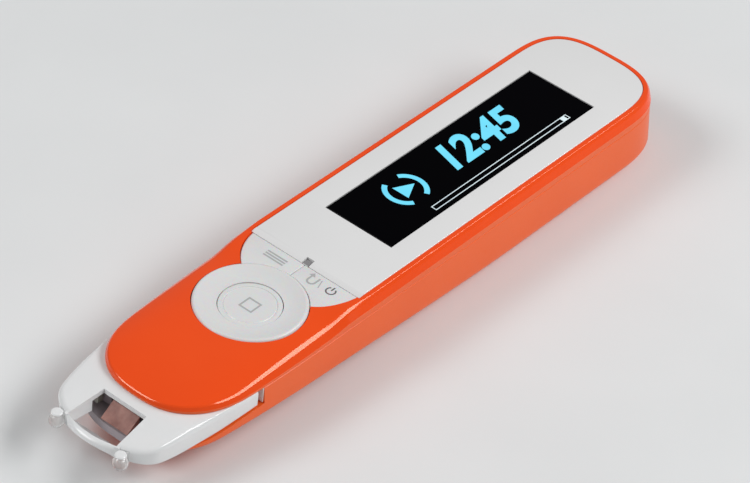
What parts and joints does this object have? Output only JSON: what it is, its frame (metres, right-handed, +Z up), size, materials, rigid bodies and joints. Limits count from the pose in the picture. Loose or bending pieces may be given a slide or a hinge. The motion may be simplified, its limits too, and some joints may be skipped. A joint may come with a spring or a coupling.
{
  "type": "scanning pen",
  "caption": "Hand-held text scanning pen: slim case with rounded end, white face plate with a long display, round navigation pad, wing keys and a clear sprung scanning tip.",
  "frame": {"origin": "centre of the pen's footprint, at the height of its flat belly", "axes": "+X along the pen from the clear tip to the rounded rear end, +Y across the pen, +Z up out of the display"},
  "size_m": [0.1356, 0.0276, 0.013],
  "materials": {
    "orange_gloss": "glossy orange ABS",
    "white_plate": "glossy white plastic",
    "key_white": "satin translucent white plastic",
    "clear_tip": "clear polycarbonate, slightly milky",
    "black_glass": "black glass",
    "black_plastic": "matte black plastic",
    "foam": "black foam",
    "silicone": "grey silicone rubber",
    "board_green": "green circuit board",
    "steel": "plain steel",
    "amber_guide": "polished reddish brown plastic",
    "battery_foil": "aluminium pouch foil",
    "flex_amber": "amber polyimide film",
    "light_chip": "pale light emitting chip",
    "lens_glass": "coated lens glass"
  },
  "bodies": {
    "case": {"audio_chip": "black_plastic", "battery": "battery_foil", "battery_lead_minus": "black_plastic", "battery_lead_plus": "black_plastic", "battery_plug": "white_plate", "case_screw_1": "steel", "case_screw_2": "steel", "case_screw_3": "steel", "case_screw_4": "steel", "display_carrier": "silicone", "display_flex": "flex_amber", "display_gasket": "foam", "display_panel": "black_glass", "display_window": "black_glass", "dome_sheet": "steel", "face_plate": "white_plate", "headphone_socket": "black_plastic", "key_mat": "silicone", "lens_barrel": "black_plastic", "light_guide": "amber_guide", "lower_case": "orange_gloss", "main_board": "board_green", "memory_chip": "black_plastic", "optics_housing": "black_plastic", "power_chip": "black_plastic", "scan_lens": "lens_glass", "scan_light_left": "light_chip", "scan_light_right": "light_chip", "scan_switch": "black_plastic", "sensor_board": "board_green", "shield_can": "steel", "speaker": "black_plastic", "speaker_gasket": "foam", "status_lens": "key_white", "status_light": "light_chip", "tip_spring_left": "steel", "tip_spring_right": "steel", "upper_case": "orange_gloss", "usb_socket": "steel"},
    "tip": {"clear_tip": "clear_tip", "foot_left": "clear_tip", "foot_right": "clear_tip", "switch_plunger": "white_plate"},
    "pad_web": {"nav_pivot_web": "silicone"},
    "pad_ring": {"nav_ring": "key_white"},
    "ok": {"ok_button": "key_white"},
    "menu": {"menu_key": "key_white"},
    "back": {"back_power_key": "key_white"}
  },
  "joints": [
    {"name": "tip_press", "type": "slide", "parent": "case", "child": "tip", "axis": [1, 0, 0], "range_m": [0, 0.001], "stiffness_N_per_m": 600, "deforming": ["tip_spring_left", "tip_spring_right"]},
    {"name": "pad_tilt_sideways", "type": "hinge", "parent": "case", "child": "pad_web", "pos_m": [-0.0293, 0, 0.01217], "axis": [0.9999, 0, 0.014], "range_deg": [-1.5, 1.5], "stiffness_Nm_per_rad": 0.4},
    {"name": "pad_tilt_lengthways", "type": "hinge", "parent": "pad_web", "child": "pad_ring", "pos_m": [-0.0293, 0, 0.01217], "axis": [0, 1, 0], "range_deg": [-1.5, 1.5], "stiffness_Nm_per_rad": 0.4},
    {"name": "ok_press", "type": "slide", "parent": "case", "child": "ok", "axis": [0.014, 0, -0.9999], "range_m": [0, 0.0003], "stiffness_N_per_m": 800},
    {"name": "menu_press", "type": "slide", "parent": "case", "child": "menu", "axis": [0, 0, -1], "range_m": [0, 0.0003], "stiffness_N_per_m": 800},
    {"name": "back_press", "type": "slide", "parent": "case", "child": "back", "axis": [0, 0, -1], "range_m": [0, 0.0003], "stiffness_N_per_m": 800}
  ]
}
